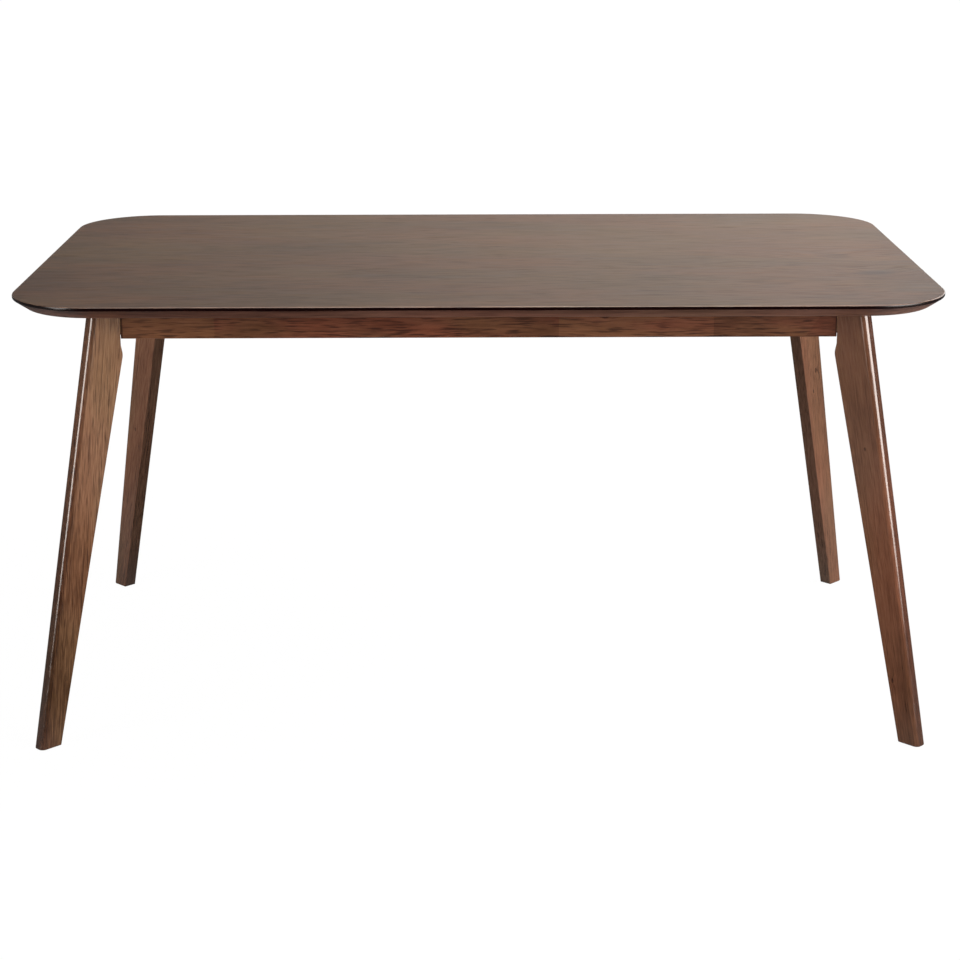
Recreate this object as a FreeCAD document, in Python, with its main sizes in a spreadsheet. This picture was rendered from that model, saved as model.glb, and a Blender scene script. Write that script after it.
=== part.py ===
import FreeCAD, Part
import Sketcher
import os

# A dining table for six: a rounded top on an apron frame, with four flat legs set
# diagonally under the corners. Lengths are in millimetres. X runs along the table,
# Y towards its rear, Z up, and the origin is on the floor under the middle of the top.

doc = FreeCAD.newDocument("dining_table")
sheet = doc.addObject("Spreadsheet::Sheet", "sizes")

# Driving sizes
SIZES = {
    # Tabletop
    "top_length": 1500,
    "top_width": 900,
    "top_thick": 22,
    "table_height": 747,
    "corner_round": 140,
    "edge_height": 5.5,
    "bevel_inset": 24,
    "edge_round": 2.2,
    "bevel_round": 12,
    # Apron frame
    "apron_inset": 150,
    "apron_height": 60,
    "apron_thick": 20,
    "apron_arris": 1.2,
    # Legs
    "leg_thick": 25,
    "leg_top_width": 48.5,
    "leg_splay": 150,
    "foot_width": 39,
    "kick_below_apron": 11,
    "knee_below_kick": 16,
    "knee_proud": 3.5,
    "knee_round": 20,
    "leg_nose_round": 9,
    "leg_arris": 1.5,
    # Corner blocks
    "block_height": 50,
    "block_depth": 30,
    "block_arris": 2,
    # Hanger bolts with their washers and nuts
    "bolt_diameter": 8,
    "bolt_length": 105,
    "bolt_proud": 5,
    "bolt_spacing": 26,
    "bolt_tip": 8,
    "nut_width": 13,
    "nut_height": 6.5,
    "washer_diameter": 20,
    "washer_thick": 1.6,
    # Pan-head wood screws
    "screw_diameter": 4,
    "screw_tip": 3.5,
    "head_diameter": 8,
    "head_height": 2.6,
    "top_screw_length": 50,
    "top_screw_bite": 14,
    "block_screw_length": 25,
    "block_screw_bite": 13,
    "block_screw_inset": 18,
    "bracket_screw_length": 16,
    # Cross rail with its dowels
    "rail_thick": 20,
    "rail_height": 45,
    "rail_arris": 1.2,
    "dowel_diameter": 8,
    "dowel_length": 30,
    "dowel_bite": 12,
    "dowel_edge": 12,
    # Angle brackets
    "bracket_reach": 28,
    "bracket_width": 25,
    "bracket_thick": 2,
    "bracket_bend": 2.5,
    # Glides and their nails
    "glide_diameter": 18,
    "glide_height": 3,
    "glide_proud": 0.8,
    "glide_round": 0.5,
    "nail_diameter": 2.5,
    "nail_length": 16,
    "nail_seat": 2,
    # Clearances
    "fit_gap": 0.1,
    "screw_gap": 0.2,
    "bolt_gap": 0.5,
    "pocket_gap": 0.75,
    "bore_spare": 0.5,
    "overrun": 5,
}

# Shares of the sizes that they follow
BRACKET_PLACE_SHARE = 0.5
BRACKET_HOLE_SHARE = 0.6
RAIL_SCREW_SHARE = 0.55
HEAD_CROWN_SHARE = 0.7
BOLT_END_SHARE = 0.25
# Of a distance along a corner's diagonal, on each axis; of a hexagon's width, to its corners
DIAGONAL_SHARE = 0.5 ** 0.5
HEXAGON_SHARE = 3 ** -0.5
# Of the top's length, within which two coordinates count as one
HAIR_SHARE = 1e-6

for row, (alias, number) in enumerate(SIZES.items(), start=1):
    sheet.set(f"A{row}", alias)
    sheet.set(f"B{row}", str(number))
    sheet.setAlias(f"B{row}", alias)
doc.recompute()


class Length:
    """A length that is known as a number and as a formula on the sheet of sizes."""

    def __init__(self, number, formula):
        self.number = number
        self.formula = formula

    def __add__(self, other):
        return Length(self.number + other.number, f"({self.formula} + {other.formula})")

    def __sub__(self, other):
        return Length(self.number - other.number, f"({self.formula} - {other.formula})")

    def __mul__(self, factor):
        return Length(self.number * factor, f"({self.formula} * {factor:.12f})")

    def __truediv__(self, divisor):
        return self * (1 / divisor)

    def __neg__(self):
        return self * -1

    __rmul__ = __mul__


def size(alias):
    """One driving size of the sheet."""
    return Length(float(getattr(sheet, alias)), f"sizes.{alias}")


ZERO = Length(0.0, "0")

# Lengths that follow from the driving sizes
underside = size("table_height") - size("top_thick")
half_length = size("top_length") / 2
half_width = size("top_width") / 2
frame_x = half_length - size("apron_inset")
frame_y = half_width - size("apron_inset")
inner_x = frame_x - size("apron_thick")
inner_y = frame_y - size("apron_thick")
apron_bottom = underside - size("apron_height")
block_bottom = underside - size("block_height")
half_leg = size("leg_thick") / 2
mitre = size("leg_thick") * DIAGONAL_SHARE
seat = -half_leg
nose_root = seat - size("apron_thick") / DIAGONAL_SHARE
block_back = nose_root - size("block_depth")
foot_out = seat + size("leg_top_width") + size("leg_splay")
foot_middle = foot_out - size("foot_width") / 2
bolt_radius = size("bolt_diameter") / 2
screw_radius = size("screw_diameter") / 2
screw_bore = screw_radius + size("fit_gap")
head_radius = size("head_diameter") / 2
pocket_radius = head_radius + size("pocket_gap")
nail_radius = size("nail_diameter") / 2

UP = (0, 0, 1)
CORNERS = {"front_left": (-1, -1), "front_right": (1, -1), "rear_left": (-1, 1), "rear_right": (1, 1)}
# Each apron by the way it faces: its name and its turn in degrees
APRONS = {
    (0, -1, 0): ("front_apron", 0),
    (1, 0, 0): ("right_apron", 90),
    (0, 1, 0): ("rear_apron", 180),
    (-1, 0, 0): ("left_apron", -90),
}
pieces = []
bores = {}
top_screws, block_screws, bracket_screws, nails = [], [], [], []


def keep(thing, label):
    """Name a finished piece and put it on the list of nodes."""
    thing.Label = label
    pieces.append(thing)


def bind(thing, **lengths):
    """Tie properties of a thing to the sheet."""
    for name, length in lengths.items():
        thing.setExpression(name, length.formula)


def place(thing, point, heading=UP, turn=0):
    """Put a thing at a point, its own Z along heading, or turned about the upright by degrees."""
    if turn:
        rotation = FreeCAD.Rotation(FreeCAD.Vector(*UP), turn)
    else:
        rotation = FreeCAD.Rotation(FreeCAD.Vector(*UP), FreeCAD.Vector(*heading))
    thing.Placement = FreeCAD.Placement(FreeCAD.Vector(*(p.number for p in point)), rotation)
    for axis, length in zip("xyz", point):
        thing.setExpression(f"Placement.Base.{axis}", length.formula)


def along(point, heading, distance):
    """The point at a distance from another along a heading."""
    return tuple(p + distance * h if h else p for p, h in zip(point, heading))


def joined(kind, name, things):
    """A fuse or a compound of several things."""
    group = doc.addObject(kind, name)
    if kind == "Part::MultiFuse":
        group.Shapes = things
    else:
        group.Links = things
    return group


def cut(base, tools, label):
    """A finished piece: the base less its tools."""
    piece = doc.addObject("Part::Cut", label)
    piece.Base = base
    piece.Tool = tools[0] if len(tools) == 1 else joined("Part::MultiFuse", label + "_bores", tools)
    keep(piece, label)


# Solids that are drawn as an outline and padded
def outline(body, role, points):
    """A closed outline through points, each a pair of lengths, on one of the body's planes."""
    sketch = body.newObject("Sketcher::SketchObject", body.Name + "_outline")
    plane = next(feature for feature in body.Origin.OriginFeatures if feature.Role == role)
    sketch.AttachmentSupport = [(plane, "")]
    sketch.MapMode = "FlatFace"
    spots = [FreeCAD.Vector(x.number, y.number, 0) for x, y in points]
    last = len(spots) - 1
    for i, spot in enumerate(spots):
        sketch.addGeometry(Part.LineSegment(spot, spots[0 if i == last else i + 1]), False)
    for i in range(len(spots)):
        sketch.addConstraint(Sketcher.Constraint("Coincident", i, 2, 0 if i == last else i + 1, 1))
    for i, point in enumerate(points):
        for kind, length in zip(("DistanceX", "DistanceY"), point):
            index = sketch.addConstraint(Sketcher.Constraint(kind, -1, 1, i, 1, length.number))
            sketch.setExpression(f"Constraints[{index}]", length.formula)
    return sketch


def padded(name, role, points, thickness, middle=False):
    """A body made of one padded outline."""
    body = doc.addObject("PartDesign::Body", name)
    pad = body.newObject("PartDesign::Pad", name + "_pad")
    pad.Profile = outline(body, role, points)
    pad.SideType = "Symmetric" if middle else "One side"
    bind(pad, Length=thickness)
    doc.recompute()
    return body


def soften(body, radius, test):
    """Round the edges of a body that pass a test."""
    base = body.Tip
    names = [f"Edge{i}" for i, edge in enumerate(base.Shape.Edges, start=1) if test(edge)]
    fillet = body.newObject("PartDesign::Fillet", f"{body.Name}_round")
    fillet.Base = (base, names)
    bind(fillet, Radius=radius)
    doc.recompute()


def near(value, length):
    """Whether a coordinate lies at a length, within a hair."""
    return abs(value - length.number) < HAIR_SHARE * size("top_length").number


def level(edge, length):
    """Whether an edge lies wholly at one height of its body."""
    return near(edge.BoundBox.ZMin, length) and near(edge.BoundBox.ZMax, length)


def upright(edge):
    """Whether an edge is a line straight up."""
    return near(edge.BoundBox.XLength, ZERO) and near(edge.BoundBox.YLength, ZERO)


# Turned solids
def rod(name, radius, reach, start, heading):
    """A round bar, or the tool for a bore, that runs from start along heading."""
    bar = doc.addObject("Part::Cylinder", name)
    bind(bar, Radius=radius, Height=reach)
    place(bar, start, heading)
    return bar


def taper(name, first, second, reach, start, heading):
    """A cone that goes from its first radius at start to its second."""
    cone = doc.addObject("Part::Cone", name)
    bind(cone, Radius1=first, Radius2=second, Height=reach)
    place(cone, start, heading)
    return cone


def screw(name, reach, spot, heading):
    """A pan-head screw whose head sits on spot and whose shank runs along heading."""
    shank = reach - size("screw_tip")
    top = along(spot, heading, -size("head_height"))
    end = along(spot, heading, shank)
    parts = [
        taper(name + "_head", head_radius * HEAD_CROWN_SHARE, head_radius, size("head_height"), top, heading),
        rod(name + "_shank", screw_radius, shank, spot, heading),
        taper(name + "_tip", screw_radius, ZERO, size("screw_tip"), end, heading),
    ]
    return joined("Part::MultiFuse", name, parts)


def corner_point(corner, out, side, height):
    """A point by its distances out along the corner's diagonal and to the side of it."""
    sx, sy = corner
    x = frame_x * sx + (out * sx - side * sy) * DIAGONAL_SHARE
    y = frame_y * sy + (out * sy + side * sx) * DIAGONAL_SHARE
    return x, y, height


def outward(corner):
    """The heading out along the corner's diagonal."""
    sx, sy = corner
    return sx * DIAGONAL_SHARE, sy * DIAGONAL_SHARE, 0


def diagonal_turn(corner):
    """The turn in degrees from X to the corner's diagonal."""
    return {(1, 1): 45, (-1, 1): 135, (-1, -1): -135, (1, -1): -45}[corner]


# Screws and the bores that they sit in
def bore(piece, radius, reach, start, heading):
    """Ask for a bore in a piece, by its name."""
    tools = bores.setdefault(piece, [])
    tools.append(rod(f"{piece}_bore_{len(tools)}", radius, reach, start, heading))


def screwed(name, group, reach, bite, spot, heading, through, into):
    """A screw seated on spot, with its bores in the piece it holds and the piece it bites."""
    group.append(screw(name, reach, spot, heading))
    grip = reach - bite
    if through:
        bore(through, screw_radius + size("screw_gap"), grip + size("overrun"), spot, heading)
    bore(into, screw_bore, bite + size("bore_spare"), along(spot, heading, grip), heading)


# Hanger bolts, washers and nuts, two at each corner
def bolt_heights():
    """The heights of a corner's two bolts."""
    middle = underside - size("block_height") / 2
    return middle - size("bolt_spacing") / 2, middle + size("bolt_spacing") / 2


def leg_bolts(name, corner):
    """The hanger bolts of a corner, with their washers and nuts, and the bores that they fill."""
    heading = outward(corner)
    bolts, washers, nuts = [], [], []
    washer_back = block_back - size("washer_thick")
    nut_back = washer_back - size("nut_height")
    bolt_back = nut_back - size("bolt_proud")
    bolt_bore = bolt_radius + size("fit_gap")
    straight = size("bolt_length") - size("bolt_tip")
    for number, height in enumerate(bolt_heights(), start=1):
        def at(out):
            return corner_point(corner, out, ZERO, height)

        mark = f"{name}_{number}"
        shank = rod(f"bolt_shank_{mark}", bolt_radius, straight, at(bolt_back), heading)
        tip = taper(
            f"bolt_tip_{mark}", bolt_radius, bolt_radius * BOLT_END_SHARE, size("bolt_tip"),
            at(bolt_back + straight), heading,
        )
        bolts.append(joined("Part::MultiFuse", f"bolt_{mark}", [shank, tip]))
        washer = doc.addObject("Part::Cut", f"washer_{mark}")
        washer.Base = rod(
            f"washer_disc_{mark}", size("washer_diameter") / 2, size("washer_thick"), at(washer_back), heading
        )
        washer.Tool = rod(f"washer_hole_{mark}", bolt_bore, size("washer_thick"), at(washer_back), heading)
        washers.append(washer)
        prism = doc.addObject("Part::Prism", f"nut_hexagon_{mark}")
        prism.Polygon = 6
        bind(prism, Circumradius=size("nut_width") * HEXAGON_SHARE, Height=size("nut_height"))
        place(prism, at(nut_back), heading)
        nut = doc.addObject("Part::Cut", f"nut_{mark}")
        nut.Base = prism
        nut.Tool = rod(f"nut_hole_{mark}", bolt_bore, size("nut_height"), at(nut_back), heading)
        nuts.append(nut)
        reach = bolt_back + size("bolt_length") - seat + size("bore_spare")
        bore(f"leg_{name}", bolt_bore, reach, at(seat), heading)
        bore(f"block_{name}", bolt_radius + size("bolt_gap"), seat - block_back, at(block_back), heading)
    keep(joined("Part::Compound", f"bolts_{name}", bolts), f"bolts_{name}")
    keep(joined("Part::Compound", f"washers_{name}", washers), f"washers_{name}")
    keep(joined("Part::Compound", f"nuts_{name}", nuts), f"nuts_{name}")


def block_fixings(name, corner):
    """A corner block's screws: in each wing one up into the top and one into the apron."""
    sx, sy = corner
    block = f"block_{name}"
    pocket = size("block_height") + size("top_screw_bite") - size("top_screw_length")
    for wing, side in (("a", -1), ("b", 1)):
        mark = f"{name}_{wing}"
        out = nose_root - size("block_depth") / 2
        foot = corner_point(corner, out, half_leg * side, block_bottom)
        spot = along(foot, UP, pocket)
        bore(block, pocket_radius, pocket, foot, UP)
        screwed(
            f"top_screw_{mark}", top_screws, size("top_screw_length"), size("top_screw_bite"),
            spot, UP, block, "tabletop",
        )
        long_apron = side == sx * sy
        heading = (0, sy, 0) if long_apron else (sx, 0, 0)
        apron, _ = APRONS[heading]
        wing_tip = corner_point(corner, block_back, (half_leg + size("block_depth")) * side, ZERO)
        grip = size("block_screw_length") - size("block_screw_bite")
        height = underside - size("block_height") / 2
        inwards = size("block_screw_inset")
        if long_apron:
            spot = (wing_tip[0] + inwards * sx, (inner_y - grip) * sy, height)
        else:
            spot = ((inner_x - grip) * sx, wing_tip[1] + inwards * sy, height)
        back = tuple(-h for h in heading)
        bore(block, pocket_radius, size("block_depth"), along(spot, back, size("block_depth")), heading)
        screwed(
            f"block_screw_{mark}", block_screws, size("block_screw_length"), size("block_screw_bite"),
            spot, heading, block, apron,
        )


# Bodies of the wooden pieces and the glides
def block_body(name, corner):
    """A corner block: a nose between the aprons and two wings along their inner faces."""
    wing = half_leg + size("block_depth")
    points = [
        (seat, -half_leg), (seat, half_leg), (nose_root, half_leg),
        (block_back, wing), (block_back, -wing), (nose_root, -half_leg),
    ]
    body = padded(f"block_body_{name}", "XY_Plane", points, size("block_height"))
    soften(body, size("block_arris"), lambda edge: upright(edge) and near(edge.BoundBox.XMin, block_back))
    place(body, corner_point(corner, ZERO, ZERO, block_bottom), turn=diagonal_turn(corner))
    return body


def leg_body(name, corner):
    """A leg: an upright inner edge on the block's nose, a knee below the apron and a long taper."""
    kick = apron_bottom - size("kick_below_apron")
    knee = kick - size("knee_below_kick")
    knee_out = seat - size("knee_proud")
    floor = size("glide_proud")
    points = [
        (foot_out - size("foot_width"), floor), (foot_out, floor),
        (seat + size("leg_top_width"), underside), (seat, underside),
        (seat, kick), (knee_out, knee),
    ]
    body = padded(f"leg_body_{name}", "XZ_Plane", points, size("leg_thick"), middle=True)
    soften(body, size("knee_round"), lambda edge: level(edge, knee) and near(edge.BoundBox.XMin, knee_out))
    soften(
        body, size("leg_nose_round"),
        lambda edge: near(edge.BoundBox.XMax, foot_out) and near(edge.BoundBox.ZMax, underside),
    )
    soften(
        body, size("leg_arris"),
        lambda edge: level(edge, floor)
        or near(edge.BoundBox.YLength, ZERO) and edge.BoundBox.XMin < seat.number + size("leg_arris").number
        and not near(edge.BoundBox.ZLength, ZERO),
    )
    place(body, corner_point(corner, ZERO, ZERO, ZERO), turn=diagonal_turn(corner))
    return body


def glide_body(name, corner):
    """A glide let into the foot, with its nail and the bores for both."""
    foot = corner_point(corner, foot_middle, ZERO, ZERO)
    radius = size("glide_diameter") / 2
    body = doc.addObject("PartDesign::Body", f"glide_body_{name}")
    disc = body.newObject("PartDesign::Revolution", f"glide_disc_{name}")
    points = [(ZERO, ZERO), (radius, ZERO), (radius, size("glide_height")), (ZERO, size("glide_height"))]
    disc.Profile = outline(body, "XZ_Plane", points)
    disc.ReferenceAxis = (disc.Profile[0], ["V_Axis"])
    doc.recompute()
    soften(body, size("glide_round"), lambda edge: level(edge, ZERO) and not near(edge.Length, ZERO))
    place(body, foot)
    spot = along(foot, UP, size("glide_height") - size("nail_seat"))
    hole = nail_radius + size("fit_gap")
    bore(f"glide_{name}", hole, size("nail_length"), spot, UP)
    bore(f"leg_{name}", hole, size("nail_length") + size("bore_spare"), spot, UP)
    bore(f"leg_{name}", radius + size("fit_gap"), size("glide_height"), foot, UP)
    nails.append(rod(f"nail_{name}", nail_radius, size("nail_length"), spot, UP))
    return body


def apron_body(label, heading, reach):
    """An apron, mitred at both ends so that each pair leaves a slot as wide as a leg is thick."""
    outer_end = reach - mitre
    inner_end = outer_end - size("apron_thick")
    points = [
        (-outer_end, ZERO), (outer_end, ZERO),
        (inner_end, size("apron_thick")), (-inner_end, size("apron_thick")),
    ]
    body = padded(f"{label}_body", "XY_Plane", points, size("apron_height"))
    soften(
        body, size("apron_arris"),
        lambda edge: level(edge, ZERO) and near(edge.BoundBox.YLength, ZERO),
    )
    hx, hy, _ = heading
    _, turn = APRONS[heading]
    place(body, (frame_x * hx if hx else ZERO, frame_y * hy if hy else ZERO, apron_bottom), turn=turn)
    return body


def bracket(name, heading, shift):
    """An angle bracket between an apron and the top, with its two screws."""
    hx, hy, _ = heading
    reach, thick = size("bracket_reach"), size("bracket_thick")
    points = [
        (ZERO, ZERO), (reach, ZERO), (reach, -thick), (thick, -thick), (thick, -reach), (ZERO, -reach),
    ]
    body = padded(f"bracket_body_{name}", "XZ_Plane", points, size("bracket_width"), middle=True)
    soften(
        body, size("bracket_bend"),
        lambda edge: near(edge.BoundBox.XMin, thick) and near(edge.BoundBox.XMax, thick) and level(edge, -thick),
    )
    seat_x = inner_x * hx if hx else shift
    seat_y = inner_y * hy if hy else shift
    apron, turn = APRONS[heading]
    place(body, (seat_x, seat_y, underside), turn=turn + 90)
    piece = f"bracket_{name}"
    inwards = (-hx, -hy, 0)
    hole_place = reach * BRACKET_HOLE_SHARE
    bite = size("bracket_screw_length") - thick
    to_apron = along((seat_x, seat_y, underside - hole_place), inwards, thick)
    to_top = along((seat_x, seat_y, underside - thick), inwards, hole_place)
    for mark, spot, way, into in (("a", to_apron, heading, apron), ("b", to_top, UP, "tabletop")):
        back = tuple(-h for h in way)
        hole = screw_radius + size("screw_gap")
        bore(piece, hole, size("overrun") * 2, along(spot, back, size("overrun")), way)
        screwed(
            f"bracket_screw_{name}_{mark}", bracket_screws, size("bracket_screw_length"), bite,
            spot, way, None, into,
        )
    return body


BRACKETS = {
    "front_left": ((0, -1, 0), frame_x * -BRACKET_PLACE_SHARE),
    "front_right": ((0, -1, 0), frame_x * BRACKET_PLACE_SHARE),
    "rear_left": ((0, 1, 0), frame_x * -BRACKET_PLACE_SHARE),
    "rear_right": ((0, 1, 0), frame_x * BRACKET_PLACE_SHARE),
    "left": ((-1, 0, 0), ZERO),
    "right": ((1, 0, 0), ZERO),
}


def rail_body():
    """The cross rail between the long aprons, on dowels and screwed up into the top."""
    half = size("rail_thick") / 2
    points = [(-half, -inner_y), (half, -inner_y), (half, inner_y), (-half, inner_y)]
    body = padded("rail_body", "XY_Plane", points, size("rail_height"))
    soften(body, size("rail_arris"), lambda edge: level(edge, ZERO) and near(edge.BoundBox.XLength, ZERO))
    place(body, (ZERO, ZERO, underside - size("rail_height")))
    return body


def rail_fixings():
    """The rail's dowels and screws, with their bores."""
    dowels, screws = [], []
    for side, apron in ((-1, "front_apron"), (1, "rear_apron")):
        heading = (0, side, 0)
        for number, height in enumerate(
            (underside - size("rail_height") + size("dowel_edge"), underside - size("dowel_edge")), start=1
        ):
            face = (ZERO, inner_y * side, height)
            start = along(face, heading, size("dowel_bite") - size("dowel_length"))
            radius = size("dowel_diameter") / 2
            dowels.append(rod(f"dowel_{apron}_{number}", radius, size("dowel_length"), start, heading))
            depth = size("dowel_length") - size("dowel_bite") + size("bore_spare")
            bore("cross_rail", radius + size("fit_gap"), depth, along(face, heading, -depth), heading)
            bore(apron, radius + size("fit_gap"), size("dowel_bite") + size("bore_spare"), face, heading)
        pocket = size("rail_height") + size("top_screw_bite") - size("top_screw_length")
        foot = (ZERO, inner_y * (RAIL_SCREW_SHARE * side), underside - size("rail_height"))
        bore("cross_rail", pocket_radius, pocket, foot, UP)
        screwed(
            f"rail_screw_{apron}", screws, size("top_screw_length"), size("top_screw_bite"),
            along(foot, UP, pocket), UP, "cross_rail", "tabletop",
        )
    keep(joined("Part::Compound", "rail_dowels", dowels), "rail_dowels")
    keep(joined("Part::Compound", "rail_screws", screws), "rail_screws")


def top_body():
    """The tabletop: rounded corners, a small rounded edge and a wide bevel under it."""
    points = [(half_length * sx, half_width * sy) for sx, sy in ((-1, -1), (1, -1), (1, 1), (-1, 1))]
    body = padded("tabletop_body", "XY_Plane", points, size("top_thick"))
    soften(body, size("corner_round"), upright)
    base = body.Tip
    rim = [f"Edge{i}" for i, edge in enumerate(base.Shape.Edges, start=1) if level(edge, ZERO)]
    bevel = body.newObject("PartDesign::Chamfer", "tabletop_bevel")
    bevel.Base = (base, rim)
    bevel.ChamferType = "Two distances"
    bevel.FlipDirection = True
    bind(bevel, Size=size("bevel_inset"), Size2=size("top_thick") - size("edge_height"))
    doc.recompute()
    soften(body, size("bevel_round"), lambda edge: level(edge, ZERO))
    soften(
        body, size("edge_round"),
        lambda edge: level(edge, size("top_thick")) or level(edge, size("top_thick") - size("edge_height")),
    )
    place(body, (ZERO, ZERO, underside))
    return body


# Assembly
bodies = {"tabletop": top_body(), "cross_rail": rail_body()}
for heading, (label, _) in APRONS.items():
    bodies[label] = apron_body(label, heading, frame_y if heading[0] else frame_x)
for name, corner in CORNERS.items():
    bodies[f"leg_{name}"] = leg_body(name, corner)
    bodies[f"block_{name}"] = block_body(name, corner)
    bodies[f"glide_{name}"] = glide_body(name, corner)
    leg_bolts(name, corner)
    block_fixings(name, corner)
for name, (heading, shift) in BRACKETS.items():
    bodies[f"bracket_{name}"] = bracket(name, heading, shift)
rail_fixings()
for label, body in bodies.items():
    cut(body, bores[label], label)
keep(joined("Part::Compound", "top_screws", top_screws), "top_screws")
keep(joined("Part::Compound", "block_screws", block_screws), "block_screws")
keep(joined("Part::Compound", "bracket_screws", bracket_screws), "bracket_screws")
keep(joined("Part::Compound", "glide_nails", nails), "glide_nails")

doc.recompute()
for thing in doc.Objects:
    if "Invalid" in thing.State or "Error" in thing.State:
        raise RuntimeError(f"{thing.Label} failed: {thing.State}")
for piece in pieces:
    if piece.Shape.isNull() or not piece.Shape.isValid():
        raise RuntimeError(f"{piece.Label} has no valid shape")

os.makedirs("parts", exist_ok=True)
for piece in pieces:
    piece.Shape.exportStep(f"parts/{piece.Label}.step")
print(len(pieces), "nodes")
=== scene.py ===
"""A dining table: its stained wood, its hidden fixings and a plain studio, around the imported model."""
import math
from collections import namedtuple

import bmesh
import bpy
from mathutils import Matrix, Vector


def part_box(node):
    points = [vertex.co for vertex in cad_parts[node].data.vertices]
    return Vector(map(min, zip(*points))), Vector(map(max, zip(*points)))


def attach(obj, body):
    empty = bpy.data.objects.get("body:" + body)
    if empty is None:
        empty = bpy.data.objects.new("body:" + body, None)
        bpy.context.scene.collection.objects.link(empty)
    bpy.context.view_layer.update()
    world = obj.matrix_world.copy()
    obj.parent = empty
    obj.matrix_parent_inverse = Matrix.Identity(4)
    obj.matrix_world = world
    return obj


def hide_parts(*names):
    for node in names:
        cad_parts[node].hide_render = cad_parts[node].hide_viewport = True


bl_info = {
    "name": "Dining Table",
    "version": (1, 0, 0),
    "blender": (4, 5, 0),
    "location": "3D View > Sidebar > Dining Table",
    "description": "Stained wood, fixings and studio for a dining table with splayed legs",
    "category": "Object",
}

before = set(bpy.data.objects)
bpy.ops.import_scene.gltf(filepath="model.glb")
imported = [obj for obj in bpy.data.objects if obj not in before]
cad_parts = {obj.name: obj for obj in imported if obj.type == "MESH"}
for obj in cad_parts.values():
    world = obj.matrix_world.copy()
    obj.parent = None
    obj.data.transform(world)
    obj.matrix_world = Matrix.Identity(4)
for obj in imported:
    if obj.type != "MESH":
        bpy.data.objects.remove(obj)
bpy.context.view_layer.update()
top_low, top_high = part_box("tabletop")
frame_x, frame_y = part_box("right_apron")[1].x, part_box("rear_apron")[1].y

# Each corner: how far right and how far to the rear it is
CORNERS = {"front_left": (-1, -1), "front_right": (1, -1), "rear_left": (-1, 1), "rear_right": (1, 1)}
DIAGONAL = math.sqrt(0.5)
UP = Vector((0, 0, 1))
# How far outside a piece its bores start
BEFORE = 0.001


# Settings that a user may change
def length(name, description, metres):
    return bpy.props.FloatProperty(
        name=name, description=description, default=metres, min=0, unit="LENGTH", precision=4
    )


def colour(name, description, red, green, blue):
    return bpy.props.FloatVectorProperty(
        name=name, description=description, default=(red, green, blue), subtype="COLOR", min=0, max=1
    )


def power(name, description, watts):
    return bpy.props.FloatProperty(name=name, description=description, default=watts, min=0, unit="POWER")


class TopSizes(bpy.types.PropertyGroup):
    """Sizes of the tabletop's rim."""

    corner_round: length("Corner round", "Radius of the corners seen from above", 0.14)
    edge_height: length("Edge height", "Height of the upright edge above the bevel", 0.0055)
    bevel_inset: length("Bevel inset", "How far the bevel runs in under the top", 0.024)
    edge_round: length("Edge round", "Radius of the rounding above and below the upright edge", 0.0022)
    bevel_round: length("Bevel round", "Radius between the bevel and the underside", 0.012)


class LegSizes(bpy.types.PropertyGroup):
    """Sizes of a leg, measured out along its corner's diagonal."""

    thick: length("Thickness", "Thickness of the leg's board", 0.025)
    splay: length("Splay", "How far the foot stands out from the top of the leg", 0.15)
    top_width: length("Top width", "Width of the leg under the top", 0.0485)
    foot_width: length("Foot width", "Width of the leg at the floor", 0.039)
    kick_below: length("Kick below apron", "How far below the apron the inner edge starts to bulge", 0.011)
    knee_below: length("Knee below kick", "How far below that the knee lies", 0.016)
    knee_proud: length("Knee proud", "How far the knee stands in from the upright inner edge", 0.0035)
    knee_round: length("Knee round", "Radius of the knee", 0.02)
    nose_round: length("Nose round", "Radius of the two outer edges", 0.009)
    arris: length("Arris", "Radius of the inner edges and of the foot", 0.0015)


class FixingSizes(bpy.types.PropertyGroup):
    """Sizes of the screws, bolts, nuts and washers, and the places of the bolts."""

    screw: length("Screw", "Diameter of a screw's shank", 0.004)
    screw_pitch: length("Screw pitch", "Rise of a wood screw's thread in one turn", 0.0018)
    head: length("Screw head", "Diameter of a screw's head", 0.008)
    head_height: length("Head height", "Height of a screw's head", 0.0026)
    tip: length("Screw tip", "Length of a screw's point", 0.0035)
    bolt: length("Bolt", "Diameter of a hanger bolt", 0.008)
    bolt_length: length("Bolt length", "Length of a hanger bolt", 0.105)
    bolt_proud: length("Bolt proud", "How far a bolt stands out behind its nut", 0.005)
    bolt_tip: length("Bolt tip", "Length of a hanger bolt's point", 0.008)
    bolt_pitch: length("Bolt pitch", "Rise of a hanger bolt's machine thread in one turn", 0.00125)
    bolt_spacing: length("Bolt spacing", "Distance between the two bolts of a corner", 0.026)
    nut: length("Nut", "Width of a nut across its flats", 0.013)
    nut_height: length("Nut height", "Height of a nut", 0.0065)
    washer: length("Washer", "Diameter of a washer", 0.02)
    washer_thick: length("Washer thickness", "Thickness of a washer", 0.0016)
    block_back: length("Block back", "How far in from the frame's corner the block's back lies", 0.0707843)
    dowel_length: length("Dowel length", "Length of a dowel", 0.03)
    gap: length("Gap", "How much wider in radius a bore is than what it holds", 0.0001)


class GlideSizes(bpy.types.PropertyGroup):
    """Sizes of the glides and their nails."""

    diameter: length("Glide", "Diameter of a glide", 0.018)
    height: length("Glide height", "Height of a glide, let into the foot", 0.003)
    round: length("Glide round", "Radius of a glide's lower edge", 0.0005)
    nail: length("Nail", "Diameter of a nail", 0.0025)
    nail_length: length("Nail length", "Length of a nail", 0.016)
    nail_seat: length("Nail seat", "How far down in the glide the nail's head lies", 0.001)


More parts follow.
